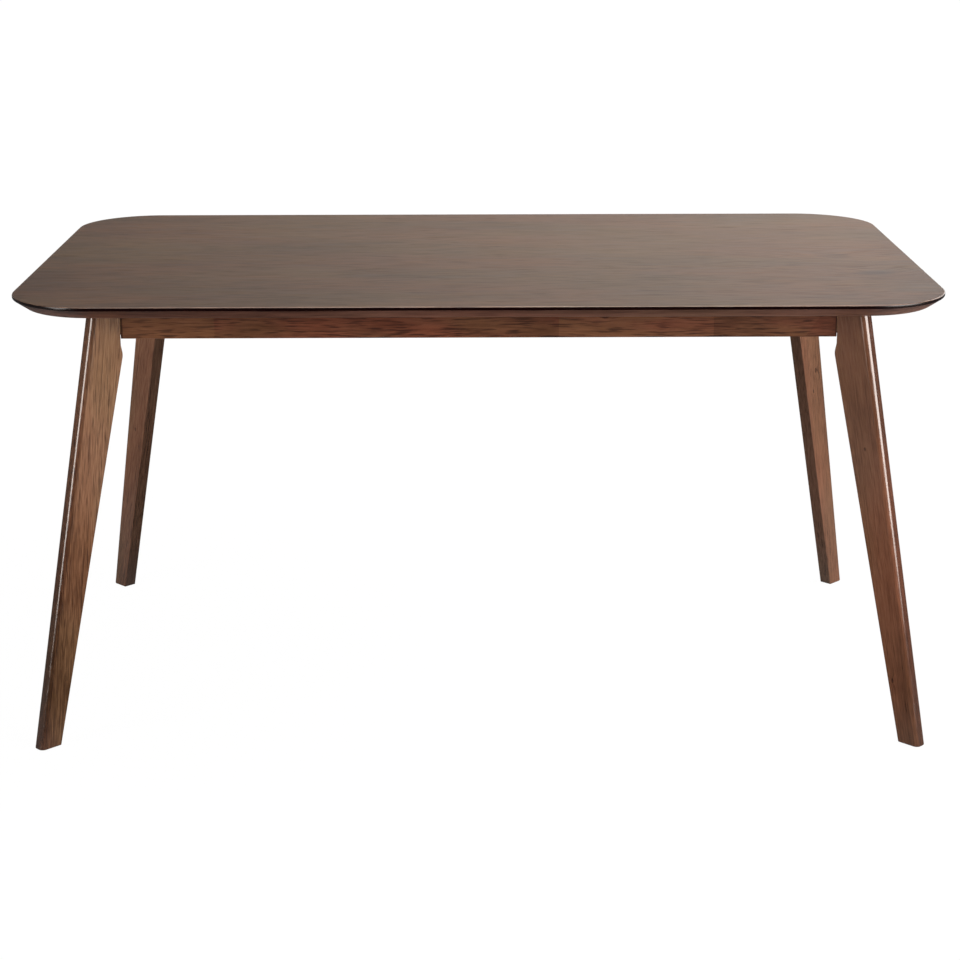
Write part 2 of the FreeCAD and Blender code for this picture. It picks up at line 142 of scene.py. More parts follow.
class Finishes(bpy.types.PropertyGroup):
    """Colours of the finishes."""

    top: colour("Top veneer", "Stained veneer of the top", 0.105, 0.054, 0.023)
    legs: colour("Legs", "Stained wood of the legs", 0.152, 0.07, 0.038)
    aprons: colour("Aprons", "Stained wood of the aprons", 0.124, 0.0465, 0.0245)
    plain: colour("Plain wood", "Unstained wood of the blocks, the rail and the dowels", 0.5, 0.35, 0.21)
    edge: colour("Edge band", "Dark band on the upright edge of the top", 0.004, 0.0005, 0.0005)
    steel: colour("Zinc plating", "Plated steel of the fixings", 0.6, 0.61, 0.62)
    nylon: colour("Nylon", "Brown nylon of the glides", 0.035, 0.022, 0.015)


class Studio(bpy.types.PropertyGroup):
    """Powers of the lamps in watts and the brightness of the room."""

    key: power("Key", "Power of the lamp at the front right", 45)
    right: power("Right box", "Power of the soft box on the right", 235)
    left: power("Left box", "Power of the soft box on the left", 96)
    front: power("Front", "Power of the lamp behind the camera", 10)
    high: power("High", "Power of the long lamp above the camera", 16)
    above: power("Above", "Power of the lamp over the top", 54)
    rear: power("Rear", "Power of the lamp behind the table", 22)
    room: bpy.props.FloatProperty(
        name="Room", description="Brightness of the white room around the table", default=0.5, min=0
    )


class DiningTable(bpy.types.PropertyGroup):
    """All settings of the table."""

    top: bpy.props.PointerProperty(type=TopSizes)
    leg: bpy.props.PointerProperty(type=LegSizes)
    fixing: bpy.props.PointerProperty(type=FixingSizes)
    glide: bpy.props.PointerProperty(type=GlideSizes)
    finish: bpy.props.PointerProperty(type=Finishes)
    studio: bpy.props.PointerProperty(type=Studio)


# Shader maths
class Value:
    """A shader socket that takes Python's operators."""

    def __init__(self, shader, socket):
        self.shader = shader
        self.socket = socket

    def math(self, operation, *others):
        values = dict(enumerate((self, *others)))
        return self.shader.node("ShaderNodeMath", {"operation": operation}, values)

    def __add__(self, other):
        return self.math("ADD", other)

    def __sub__(self, other):
        return self.math("SUBTRACT", other)

    def __rsub__(self, other):
        return self.math("MULTIPLY_ADD", -1.0, other)

    def __mul__(self, other):
        return self.math("MULTIPLY", other)

    def __truediv__(self, other):
        return self.math("DIVIDE", other)

    def __pow__(self, other):
        return self.math("POWER", other)

    __radd__ = __add__
    __rmul__ = __mul__

    def out(self, name):
        """Another output of the same node."""
        return Value(self.shader, self.socket.node.outputs[name])


class Shader:
    """The node tree of a material or of the world."""

    def __init__(self, owner):
        self.owner = owner
        owner.use_nodes = True
        self.tree = owner.node_tree

    def node(self, kind, settings=None, inputs=None, output=0):
        """A node: its settings first, then the values or links of its sockets."""
        made = self.tree.nodes.new(kind)
        for name, setting in (settings or {}).items():
            if name == "stops":
                self.fill_ramp(made.color_ramp, setting)
            else:
                setattr(made, name, setting)
        for name, value in (inputs or {}).items():
            self.feed(made.inputs[name], value)
        return Value(self, made.outputs[output])

    def feed(self, socket, value):
        """A link, a number or a colour on a socket."""
        if isinstance(value, Value):
            self.tree.links.new(value.socket, socket)
        elif socket.type == "RGBA" and len(value) == 3:
            socket.default_value = (*value, 1)
        else:
            socket.default_value = value

    def fill_ramp(self, ramp, stops):
        while len(ramp.elements) < len(stops):
            ramp.elements.new(0.5)
        for element, (place, shade) in zip(ramp.elements, stops):
            element.position = place
            element.color = (*shade, 1)

    def finish(self, **sockets):
        """Feeds the surface's sockets, named with underscores for spaces."""
        surface = self.tree.nodes["Principled BSDF"]
        for name, value in sockets.items():
            self.feed(surface.inputs[name.replace("_", " ")], value)
        return self.owner

    def place(self):
        """A point's place on its piece, in metres."""
        return self.node("ShaderNodeTexCoord", output="Object")

    def parts(self, vector):
        """The X, Y and Z of a vector."""
        split = self.node("ShaderNodeSeparateXYZ", inputs={"Vector": vector})
        return [split.out(axis) for axis in "XYZ"]

    def noise(self, place, waves, detail=2.0, roughness=0.5, shift=(0, 0, 0)):
        """Noise with a number of waves to the metre along each axis."""
        at = self.node("ShaderNodeVectorMath", {"operation": "MULTIPLY_ADD"}, {0: place, 1: waves, 2: shift})
        inputs = {"Vector": at, "Scale": 1.0, "Detail": detail, "Roughness": roughness}
        return self.node("ShaderNodeTexNoise", inputs=inputs)

    def spread(self, value, low, high, first=0.0, last=1.0):
        """Maps low..high smoothly to first..last."""
        inputs = {"Value": value, "From Min": low, "From Max": high, "To Min": first, "To Max": last}
        return self.node("ShaderNodeMapRange", {"interpolation_type": "SMOOTHSTEP"}, inputs)

    def mix(self, factor, first, second, blend="MIX"):
        """A mix of two colours."""
        settings = {"data_type": "RGBA", "blend_type": blend}
        return self.node("ShaderNodeMix", settings, {0: factor, 6: first, 7: second}, 2)

    def tint(self, colour, by):
        """A colour multiplied by another."""
        return self.mix(1.0, colour, by, "MULTIPLY")

    def combine(self, first, second, operation="ADD"):
        """Vector maths on two vectors."""
        return self.node("ShaderNodeVectorMath", {"operation": operation}, {0: first, 1: second})

    def relief(self, height, strength, distance):
        """A bump for a surface's Normal."""
        inputs = {"Strength": strength, "Distance": distance, "Height": height}
        return self.node("ShaderNodeBump", inputs=inputs)

    def blend(self, factor, first, second):
        """A mix of two surfaces."""
        return self.node("ShaderNodeMixShader", inputs={0: factor, 1: first, 2: second})


def new_shader(name):
    return Shader(bpy.data.materials.new(name))


def shade(base, factor, warmth=1.0):
    """A colour made darker or lighter, and redder where warmth is above one."""
    red, green, blue = base
    return red * factor, green * factor / warmth, blue * factor / warmth ** 1.5


# Wood
def grain_turn(along, across):
    """The turn of a board whose grain runs along one heading and whose width along another."""
    x = Vector(along).normalized()
    z = x.cross(Vector(across)).normalized()
    return Matrix((x, z.cross(x), z)).transposed().to_euler()


# Waves to the metre along and across the board, the width of a ring, how strong each mark is, and the lacquer
MARKS = "fibre streak pore patch ring"
DEPTHS = "fibre_depth streak_depth pore_depth patch_depth ring_depth hue_depth"
Grain = namedtuple("Grain", f"{MARKS} {DEPTHS} rough shine")
TOP_GRAIN = Grain((9, 150), (12, 80), (16, 520), (2.4, 8), 0.03, 0.8, 0.5, 0.25, 0.5, 0.25, 0.5, 0.4, 0.5)
APRON_GRAIN = Grain((30, 600), (18, 320), (26, 360), (6, 20), 0.006, 0.8, 0.55, 0.4, 0.55, 0.3, 1, 0.36, 0.3)
LEG_GRAIN = Grain((34, 600), (15, 420), (20, 640), (3.2, 12), 0.006, 0.8, 0.45, 0.2, 0.6, 0.3, 0.4, 0.14, 1)
PLAIN_GRAIN = Grain((24, 420), (9, 150), (42, 980), (3, 10), 0.004, 0.5, 0.5, 0.16, 0.5, 0.8, 0.4, 0.6, 0.4)

# A stain by its tone, from its darkest to its lightest: how light it is against its colour, and how red
STAIN_TONES = ((0.0, 0.3, 1.12), (0.3, 0.68, 1.05), (0.5, 1.0, 1.0), (0.75, 1.35, 0.97), (1.0, 1.75, 0.93))
# The patches that are redder and those that are greener, from where to where, and their tints
PATCH_TINTS = ((0.42, 0.68, (1.12, 0.93, 0.88)), (0.58, 0.34, (0.92, 1.03, 0.9)))
# Tints of painted shade on a leg's nose and inner edge, of the painted highlight above the tabletop's edge,
# and of the painted light on the bevel under it
NOSE_SHADE_TINT = (0.52, 0.48, 0.48)
INNER_SHADE_TINT = (0.6, 0.72, 0.85)
RIM_HIGHLIGHT_TINT = (2.5, 3.5, 6.5)
BEVEL_LIGHT_TINT = (1.12, 1.04, 1.68)
# How far grain lines stray from straight, in metres, and how wide a knot is against its length
WANDER = (0.0, 0.022, 0.022)
KNOT_FLATNESS = 0.55
# Faint shadows in the top, made as knots are
TOP_SHADOWS = ((0.664, -0.175, 0.024, 0.33), (0.62, -0.02, 0.024, 0.24))


def part_round_knots_and_shadows(shader, x, y, knots_and_shadows):
    """Makes grain lines give way round each knot and each painted shadow of the tabletop, and says how dark
    they are.
    """
    knot_and_shadow_dark = 0.0
    for spot_x, spot_y, size, dark in knots_and_shadows:
        far = (((x - spot_x) * KNOT_FLATNESS) ** 2 + (y - spot_y) ** 2) ** 0.5
        y = y + shader.spread(far, 0.0, size * 3.2, 1.0, 0.0) * (size * 1.5)
        knot_and_shadow_dark = shader.spread(far, size * 0.35, size, dark, 0.0) + knot_and_shadow_dark
    return y, knot_and_shadow_dark


def paint_top_shade(shader, tone, x, y, bevel):
    """Paints shade and light on the tabletop: darker towards the left and lighter to the right, darker at
    both ends and the front, lighter at the back, and the bevel darker towards its left end.
    """
    tone = tone - bevel * shader.spread(x, -0.55, 0.05, 0.06, 0.0) - shader.spread(x, -0.7, 0.1, 0.07, -0.02)
    ends = shader.spread(x, 0.62, 0.75) * shader.spread(y, 0.4, -0.4, 0.08, 0.18)
    ends = ends + shader.spread(x, -0.6, -0.74, 0.0, 0.1) + shader.spread(y, -0.45, 0.3, 0.1, -0.05)
    return tone - ends * (1 - bevel)


def paint_leg_shade(shader, paint, facing, across, inner, nose):
    """Paints shade on a leg: its inner edge, which faces in and down, darker and less red, and its outer edge
    darker from where it turns away from the sides.
    """
    inwards = {0: facing, 1: tuple(-Vector(across))}
    side = shader.node("ShaderNodeVectorMath", {"operation": "DOT_PRODUCT"}, inwards, 1)
    paint = shader.mix(shader.spread(side, 0.6, 0.9), paint, shader.tint(paint, inner))
    return shader.mix(shader.spread(side, -nose, -nose - 0.22), paint, shader.tint(paint, NOSE_SHADE_TINT))


def paint_rim(shader, board, x, y, upright, bevel, paint, edge):
    """Paints the tabletop's rim: a painted highlight stripe above, dimmer towards the left end; a dark band
    on the edge, reaching higher up the rounding along the right end; and painted light on the bevel, bluish,
    paler low down and towards the right end.
    """
    rim_highlight = shader.spread(upright, 0.5, 0.7) * shader.spread(upright, 0.95, 0.995, 1.0, 0.0)
    deep = shader.parts(board)[2]
    # Painted light on the bevel: paler low down and towards the right end
    light = shader.spread(deep, -0.006, -0.018, 0.72, 1.08) * shader.spread(x, 0.62, 0.72, 1.0, 1.3)
    # Painted highlight above the edge, dimmer towards the left end
    bright = shader.mix(rim_highlight * shader.spread(x, -0.72, -0.5, 0.6, 1.0), paint, shader.tint(paint, RIM_HIGHLIGHT_TINT))
    lit = shader.node("ShaderNodeVectorMath", {"operation": "SCALE"}, {0: BEVEL_LIGHT_TINT, "Scale": light})
    paint = shader.mix(bevel, bright, shader.tint(bright, lit))
    # Along the right end the dark band reaches higher up the rounding
    right = shader.spread(x, 0.725, 0.745) * shader.spread(y, -0.4, -0.3)
    band = shader.spread(upright, right * 0.45 + 0.4, right * 0.39 + 0.6, 1.0, 0.0) * (1 - bevel)
    return shader.mix(band, paint, edge), rim_highlight, band


def wood(name, base, along, across, origin, grain, seed, pith=(0.06, 0.11), knots_and_shadows=(), joints=(), edge=None,
         foot=0.0, inner=None, nose=0.0):
    """Stained wood under a satin lacquer, cut from a log whose pith runs beside the board.

    A knot has its place, its size and how dark it is; the tabletop's painted shadows are given the same way.
    A joint has its place and its lean, and how much lighter and redder the wood beyond it is; on the front
    apron some are painted shade. The edge is the tabletop's, whose tone also takes painted shade and light;
    the foot, inner and nose carry a leg's painted shade.
    """
    shader = new_shader(name)
    mapping = {"Vector": shader.place(), "Location": origin, "Rotation": grain_turn(along, across)}
    board = shader.node("ShaderNodeMapping", {"vector_type": "TEXTURE"}, mapping)
    sway = shader.noise(board, (2.2, 9, 9), 2, shift=(seed, seed * 2, 0)).out("Color")
    sway = shader.combine(sway, (0.5, 0.5, 0.5), "SUBTRACT")
    x, level, z = shader.parts(shader.combine(board, shader.combine(sway, WANDER, "MULTIPLY")))
    y, knot_and_shadow_dark = part_round_knots_and_shadows(shader, x, level, knots_and_shadows)
    bent = shader.node("ShaderNodeCombineXYZ", inputs={"X": x, "Y": y, "Z": z})

    def mark(waves, detail, roughness, shift):
        low, high = waves
        return shader.noise(bent, (low, high, high), detail, roughness, shift=shift) - 0.5

    aside, above = y - pith[0], z - pith[1]
    radius = (aside * aside + above * above) ** 0.5 + shader.noise(bent, (1.5, 18, 18), 2) * (grain.ring * 3)
    turning = (radius / grain.ring).math("FRACT")
    rings = shader.spread(turning, 0.3, 0.92) - shader.spread(turning, 0.92, 1.0)
    fibre = mark(grain.fibre, 3, 0.62, (seed, 0, seed))
    streak = mark(grain.streak, 3, 0.6, (0, seed, 0))
    pores = shader.spread(mark(grain.pore, 1, 0.5, (seed, seed, 0)), 0.02, 0.18)
    patch_waves = (grain.patch[0], grain.patch[1], grain.patch[1])
    patch = shader.noise(board, patch_waves, 2, 0.55, shift=(seed, 3, 0)) - 0.5
    tint = shader.noise(board, patch_waves, 1, shift=(7, seed, 0))

    tone = 0.5 - rings * (0.16 * grain.ring_depth) + fibre * grain.fibre_depth + streak * grain.streak_depth
    tone = tone + patch * grain.patch_depth - pores * grain.pore_depth - knot_and_shadow_dark
    for joint, lean, lighter, redder in joints:
        beyond = (x - level * lean).math("GREATER_THAN", joint)
        tone, tint = tone + beyond * lighter, tint + beyond * redder
    # Painted shade: darker towards the foot by the given amount; a negative amount makes it lighter
    if foot:
        tone = tone - shader.spread(x, -0.1, 0.36, 0.0, foot)
    facing = shader.node("ShaderNodeNewGeometry").out("Normal")
    if edge:
        upright = shader.parts(facing)[2]
        bevel = shader.spread(upright, -0.8, -0.72, 1.0, 0.0)
        # Painted shade and light on the tabletop's tone, by where it lies
        tone = paint_top_shade(shader, tone, x, y, bevel)

    stops = [(place, shade(base, light, red)) for place, light, red in STAIN_TONES]
    paint = shader.node("ShaderNodeValToRGB", {"stops": stops}, {"Fac": tone})
    for low, high, by in PATCH_TINTS:
        paint = shader.mix(shader.spread(tint, low, high) * grain.hue_depth, paint, shader.tint(paint, by))
    # Painted shade on a leg's inner edge and on its nose
    if inner:
        paint = paint_leg_shade(shader, paint, facing, across, inner, nose)
    rough = fibre * 0.16 + pores * 0.08 + grain.rough
    height = fibre * 0.6 - pores
    if edge:
        paint, rim_highlight, band = paint_rim(shader, board, x, y, upright, bevel, paint, edge)
        rough = (rough - rim_highlight * 0.15) * (1 - band) + band * 0.22
        height = height * (1 - band)
    relief = shader.relief(height, 0.3, 0.00015)
    return shader.finish(Base_Color=paint, Roughness=rough, Normal=relief, Specular_IOR_Level=grain.shine)


# Metal and nylon
def plated_steel(name, base):
    """Zinc-plated steel with a fine grit and a faint warm bloom."""
    shader = new_shader(name)
    place = shader.place()
    bloom = shader.noise(place, (160, 160, 160), 3, 0.6)
    grit = shader.relief(shader.noise(place, (2600, 2600, 2600), 2, 0.6), 0.2, 0.0001)
    paint = shader.mix(shader.spread(bloom, 0.4, 0.65), base, shade(base, 0.82, 1.04))
    return shader.finish(Base_Color=paint, Roughness=bloom * 0.25 + 0.2, Metallic=1.0, Normal=grit)


def moulded_nylon(name, base):
    """Brown nylon with a fine moulded grain."""
    shader = new_shader(name)
    place = shader.place()
    scuff = shader.noise(place, (220, 220, 220), 2)
    grit = shader.relief(shader.noise(place, (1800, 1800, 1800), 3, 0.6), 0.3, 0.0001)
    paint = shader.mix(shader.spread(scuff, 0.45, 0.7), base, shade(base, 1.5, 0.97))
    return shader.finish(Base_Color=paint, Roughness=scuff * 0.2 + 0.4, Normal=grit)


def dress(node, material):
    """Gives a CAD node its finish."""
    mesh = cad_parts[node].data
    mesh.materials.clear()
    mesh.materials.append(material)


# Modelling
def stretch(x, y, z, about=(0, 0, 0)):
    """Scales what is selected about a point."""
    bpy.ops.transform.resize(value=(x, y, z), center_override=about)


def begin(kind, name, **settings):
    """Adds a primitive, all selected, and opens it for editing."""
    bpy.ops.object.select_all(action="DESELECT")
    getattr(bpy.ops.mesh, f"primitive_{kind}_add")(enter_editmode=True, **settings)
    bpy.context.object.name = name
    return bpy.context.object


def pick(kind, test):
    """Selects the vertices, edges or faces of the open mesh whose corners all pass a test."""
    bpy.ops.mesh.select_all(action="DESELECT")
    bpy.ops.mesh.select_mode(type=kind)
    mesh = bmesh.from_edit_mesh(bpy.context.object.data)
    for item in {"VERT": mesh.verts, "EDGE": mesh.edges, "FACE": mesh.faces}[kind]:
        corners = [item] if kind == "VERT" else item.verts
        item.select_set(all(test(corner.co) for corner in corners))
    mesh.select_flush_mode()
    bmesh.update_edit_mesh(bpy.context.object.data)


def near(value, target, slack=1e-5):
    return abs(value - target) < slack


def soften(offset, segments):
    """Rounds the selected edges by the distance that the rounding takes from each face."""
    settings = {"affect": "EDGES", "offset_type": "OFFSET", "clamp_overlap": True}
    bpy.ops.mesh.bevel(offset=offset, segments=segments, **settings)


def leave_edit():
    """Turns the faces of the open mesh outwards and closes it."""
    if bpy.context.mode != "OBJECT":
        bpy.ops.mesh.select_all(action="SELECT")
        bpy.ops.mesh.normals_make_consistent(inside=False)
        bpy.ops.object.mode_set(mode="OBJECT")


def choose(*pieces):
    """Selects pieces alone and makes the last one active."""
    leave_edit()
    bpy.ops.object.select_all(action="DESELECT")
    for piece in pieces:
        piece.select_set(True)
        bpy.context.view_layer.objects.active = piece


def settle(*pieces):
    """Puts the place, turn and scale of pieces into their meshes."""
    choose(*pieces)
    bpy.ops.object.transform_apply(location=True, rotation=True, scale=True)


def gather(name, pieces):
    """Joins pieces into one."""
    settle(*pieces)
    bpy.ops.object.join()
    bpy.context.object.name = name
    return bpy.context.object


def carve(piece, tool, operation="DIFFERENCE"):
    """Cuts a tool out of a piece, or keeps what the two share."""
    choose(piece)
    cutter = piece.modifiers.new("carve", "BOOLEAN")
    cutter.object, cutter.operation, cutter.solver, cutter.use_self = tool, operation, "EXACT", True
    bpy.ops.object.modifier_apply(modifier=cutter.name)
    bpy.data.objects.remove(tool)


def heading_turn(heading):
    """The turn from straight up to a heading."""
    return UP.rotation_difference(Vector(heading)).to_euler()


def drill(piece, holes):
    """Bores round holes into a piece, each by its radius, start, heading and reach."""
    settle(piece)
    tools = []
    for radius, start, heading, reach in holes:
        middle = Vector(start) + Vector(heading) * (reach / 2)
        bpy.ops.mesh.primitive_cylinder_add(
            vertices=32, radius=radius, depth=reach, location=middle, rotation=heading_turn(heading)
        )
        tools.append(bpy.context.object)
    carve(piece, gather("drill", tools))


def turned(name, stations, sides=24, ring=False):
    """A turned piece along Z through stations of radius and height. A ring ends at its first station."""
    (radius, height), *others = stations
    fill = "NOTHING" if ring else "NGON"
    piece = begin("circle", name, vertices=sides, radius=radius, fill_type=fill, location=(0, 0, height))
    for next_radius, next_height in others:
        bpy.ops.mesh.extrude_region_move(TRANSFORM_OT_translate={"value": (0, 0, next_height - height)})
        stretch(next_radius / radius, next_radius / radius, 1)
        radius, height = next_radius, next_height
    if ring:
        bpy.ops.mesh.select_all(action="SELECT")
        bpy.ops.mesh.remove_doubles(threshold=1e-6)
    settle(piece)
    return piece


def thread(crest, root, start, end, pitch):
    """Stations of a thread's ridges from one height to another."""
    turns = int((end - start) / pitch)
    rise = (end - start) / turns
    return [
        (radius, start + rise * (number + share))
        for number in range(turns) for radius, share in ((root, 0.15), (crest, 0.6))
    ]


def close_piece(piece, material, node):
    """Ends a piece: puts its place into its mesh, smooths its faces, gives it its finish, hangs it under the
    root body and hides the CAD node that it stands in for.
    """
    settle(piece)
    bpy.ops.object.shade_smooth_by_angle(angle=math.radians(35))
    weigh = piece.modifiers.new("weigh", "WEIGHTED_NORMAL")
    weigh.keep_sharp = True
    bpy.ops.object.modifier_apply(modifier=weigh.name)
    piece.data.materials.clear()
    piece.data.materials.append(material)
    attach(piece, "root")
    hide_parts(node)


def place_copies(master, sets, material):
    """Makes a piece of each set of copies, put at points and turned from straight up to headings."""
    for name, node, spots in sets:
        twins = []
        for point, heading in spots:
            twin = master.copy()
            twin.data = master.data.copy()
            twin.location, twin.rotation_euler = point, heading_turn(heading)
            bpy.context.scene.collection.objects.link(twin)
            twins.append(twin)
        close_piece(gather(name, twins), material, node)
    bpy.data.objects.remove(master)


# Places that pieces share
def centre(node):
    """The middle of a node's box."""
    low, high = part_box(node)
    return (low + high) / 2


def corner_point(corner, out, side, height):
    """A point by its distances out along a corner's diagonal and to the side of it."""
    right, rear = CORNERS[corner]
    x = frame_x * right + (out * right - side * rear) * DIAGONAL
    y = frame_y * rear + (out * rear + side * right) * DIAGONAL
    return Vector((x, y, height))


def foot_point(corner, height):
    """The middle of a foot, at a height."""
    return Vector((*centre("glide_" + corner).xy, height))


def outward(corner):
    """The heading out along a corner's diagonal."""
    return Vector((*CORNERS[corner], 0)) * DIAGONAL


def bolt_heights(sizes):
    """The heights of a corner's two bolts."""
    middle = centre("block_front_left").z
    return middle - sizes.bolt_spacing / 2, middle + sizes.bolt_spacing / 2


SCREW_LENGTHS = {"top_screws": 0.05, "rail_screws": 0.05, "block_screws": 0.025, "bracket_screws": 0.016}
# How far below the top's underside the wood screws' heads sit, in metres
SUNK, BLOCK_DROP, BRACKET_DROP, BRACKET_SHEET = 0.036, 0.025, 0.0168, 0.002
# How far in from the frame's outer faces the screws of the blocks and of the brackets sit
BLOCK_IN, BLOCK_ALONG, BRACKET_IN, BRACKET_TOP_IN = 0.032, 0.0621031, 0.022, 0.0368
# How far in from the frame's corner, and to the side of its diagonal, the blocks' screws into the top sit
CORNER_IN, ASIDE = 0.0557843, 0.0125
# How far out from the middle the long aprons' brackets and the cross rail's screws are
BRACKET_OUT, RAIL_OUT = 0.3, 0.154


def screw_seats():
    """Each node of wood screws: their length, and where their heads sit and where they point."""
    sets = {node: [] for node in SCREW_LENGTHS}

    def seat(node, x, y, drop, heading):
        sets[node].append((Vector((x, y, top_low.z - drop)), Vector(heading)))

    for corner, (right, rear) in CORNERS.items():
        for side in (-ASIDE, ASIDE):
            seat("top_screws", *corner_point(corner, -CORNER_IN, side, 0).xy, SUNK, UP)
        x, y = (frame_x - BLOCK_ALONG) * right, (frame_y - BLOCK_ALONG) * rear
        seat("block_screws", x, (frame_y - BLOCK_IN) * rear, BLOCK_DROP, (0, rear, 0))
        seat("block_screws", (frame_x - BLOCK_IN) * right, y, BLOCK_DROP, (right, 0, 0))
        x = BRACKET_OUT * right
        seat("bracket_screws", x, (frame_y - BRACKET_IN) * rear, BRACKET_DROP, (0, rear, 0))
        seat("bracket_screws", x, (frame_y - BRACKET_TOP_IN) * rear, BRACKET_SHEET, UP)
    for side in (-1, 1):
        seat("bracket_screws", (frame_x - BRACKET_IN) * side, 0, BRACKET_DROP, (side, 0, 0))
        seat("bracket_screws", (frame_x - BRACKET_TOP_IN) * side, 0, BRACKET_SHEET, UP)
        seat("rail_screws", 0, RAIL_OUT * side, SUNK, UP)
    return {node: (reach, sets[node]) for node, reach in SCREW_LENGTHS.items()}


class Step:
    """What the operators of this add-on share."""

    bl_options = {"REGISTER", "UNDO"}


class DINING_OT_top(Step, bpy.types.Operator):
    """Model the tabletop with its rounded corners, upright edge and wide bevel"""

    bl_idname = "dining.top"
    bl_label = "Tabletop"

    def execute(self, context):
        sizes, finish = context.scene.dining.top, context.scene.dining.finish
        size = top_high - top_low
        start = (*centre("tabletop").xy, top_high.z - sizes.edge_height)
        piece = begin("plane", "table_top", size=1, location=start)
        stretch(size.x, size.y, 1, start)
        bpy.ops.mesh.bevel(offset=sizes.corner_round, segments=32, affect="VERTICES", offset_type="OFFSET")
        bpy.ops.mesh.select_all(action="SELECT")
        bpy.ops.mesh.extrude_region_move(TRANSFORM_OT_translate={"value": (0, 0, sizes.edge_height)})
        bpy.ops.mesh.select_all(action="SELECT")
        bpy.ops.mesh.normals_make_consistent(inside=False)
        pick("FACE", lambda v: near(v.z, 0))
        drop = size.z - sizes.edge_height
        bpy.ops.mesh.inset(thickness=sizes.bevel_inset, depth=drop)
        slope = math.atan2(sizes.bevel_inset, drop)
        right_angle = math.pi / 2
        for level, radius, turn, segments in (
            (sizes.edge_height, sizes.edge_round, right_angle, 5),
            (0, sizes.edge_round, slope, 4),
            (-drop, sizes.bevel_round, right_angle - slope, 6),
        ):
            pick("EDGE", lambda v: near(v.z, level))
            soften(radius * math.tan(turn / 2), segments)
        drill(piece, self.screw_holes(context.scene.dining.fixing))
        material = wood(
            "top_veneer", finish.top, (1, 0, 0), (0, 1, 0), (0, 0, top_high.z), TOP_GRAIN, 3.1,
            pith=(0.1, -0.35), knots_and_shadows=TOP_SHADOWS, edge=finish.edge,
        )
        close_piece(piece, material, "tabletop")
        return {"FINISHED"}

    def screw_holes(self, sizes):
        """The bores in the underside for the screws that hold the top."""
        start = top_low.z - BEFORE
        for reach, seats in screw_seats().values():
            for point, heading in seats:
                if heading == UP:
                    end = point.z + reach + sizes.gap
                    yield sizes.screw / 2 + sizes.gap, (point.x, point.y, start), UP, end - start


# Each apron: its grain's heading, its seed, how light it is, its knots, and the joints between its boards and
# painted shade
APRON_BOARDS = {
    "front_apron": ((1, 0, 0), 1.7, 1.0, ((0.205, 0.006, 0.0035, 0.45),), (
        # Painted shade on the front apron: dark from -0.7 to -0.579 by the left leg, a diagonal shadow from
        # 0.55, and dark beyond 0.5797 by the right leg
        (-0.7, 0, -0.44, -0.16), (-0.579, 0, 0.5, 0), (-0.43, 0, -0.13, 0.24), (0.13, 0, 0.17, -0.22),
        (0.382, 0, -0.16, -0.06), (0.55, 0.7, -0.1, 0.05), (0.5797, 0, -0.5, 0),
    )),
    "rear_apron": ((1, 0, 0), 5.2, 1.05, ((-0.3, 0.01, 0.004, 0.45),), ((0.1, 0, 0.06, -0.1),)),
    "left_apron": ((0, 1, 0), 8.9, 0.95, (), ((0.05, 0, 0.05, 0.1),)),
    "right_apron": ((0, 1, 0), 12.4, 1.1, ((0.1, -0.01, 0.003, 0.45),), ()),
}


class DINING_OT_aprons(Step, bpy.types.Operator):
    """Stain the four aprons, each from boards of its own, with painted shade by the legs on the front one"""

    bl_idname = "dining.aprons"
    bl_label = "Aprons"

    def execute(self, context):
        base = context.scene.dining.finish.aprons
        for name, (along, seed, light, knots_and_shadows, joints) in APRON_BOARDS.items():
            dress(name, wood(
                name + "_stain", shade(base, light), along, UP, centre(name), APRON_GRAIN, seed,
                pith=(0.03, 0.05), knots_and_shadows=knots_and_shadows, joints=joints,
            ))
        return {"FINISHED"}


# Each leg's wood: its grain's slant in degrees, its seed and tint, the tint partly its own colour and partly
# painted light and shade for how that leg is lit, how strong its lines are, how much painted shade darkens
# its foot, how light the painted shade leaves its inner edge, where the painted shade on its nose starts, and
# its knots
LEG_BOARDS = {
    "front_left": (7, 2.3, (1.27, 1.47, 1.48), 0.35, 0.38, 1.0, 0.1, ()),
    "front_right": (1, 6.1, (0.95, 0.92, 0.97), 0.12, 0.13, 1.0, 0.8, (
        (0.26, -0.004, 0.003, 0.45), (-0.13, 0.002, 0.0025, 0.45),
    )),
    "rear_left": (-2, 9.7, (1.46, 1.6, 1.68), 0.2, 0.34, 0.7, 0.72, ((0.02, 0.0, 0.003, 0.4),)),
    "rear_right": (3, 14.2, (0.79, 0.82, 0.88), 0.2, -0.06, 1.2, 0.72, (
        (-0.1, 0.006, 0.004, 0.4), (-0.06, -0.005, 0.003, 0.4),
    )),
}
# How far the grain leans where it has no slant, in degrees, and a leg's middle: out, to the side and up
LEG_LEAN = 12.9
LEG_MIDDLE = (0.08, 0, 0.36)


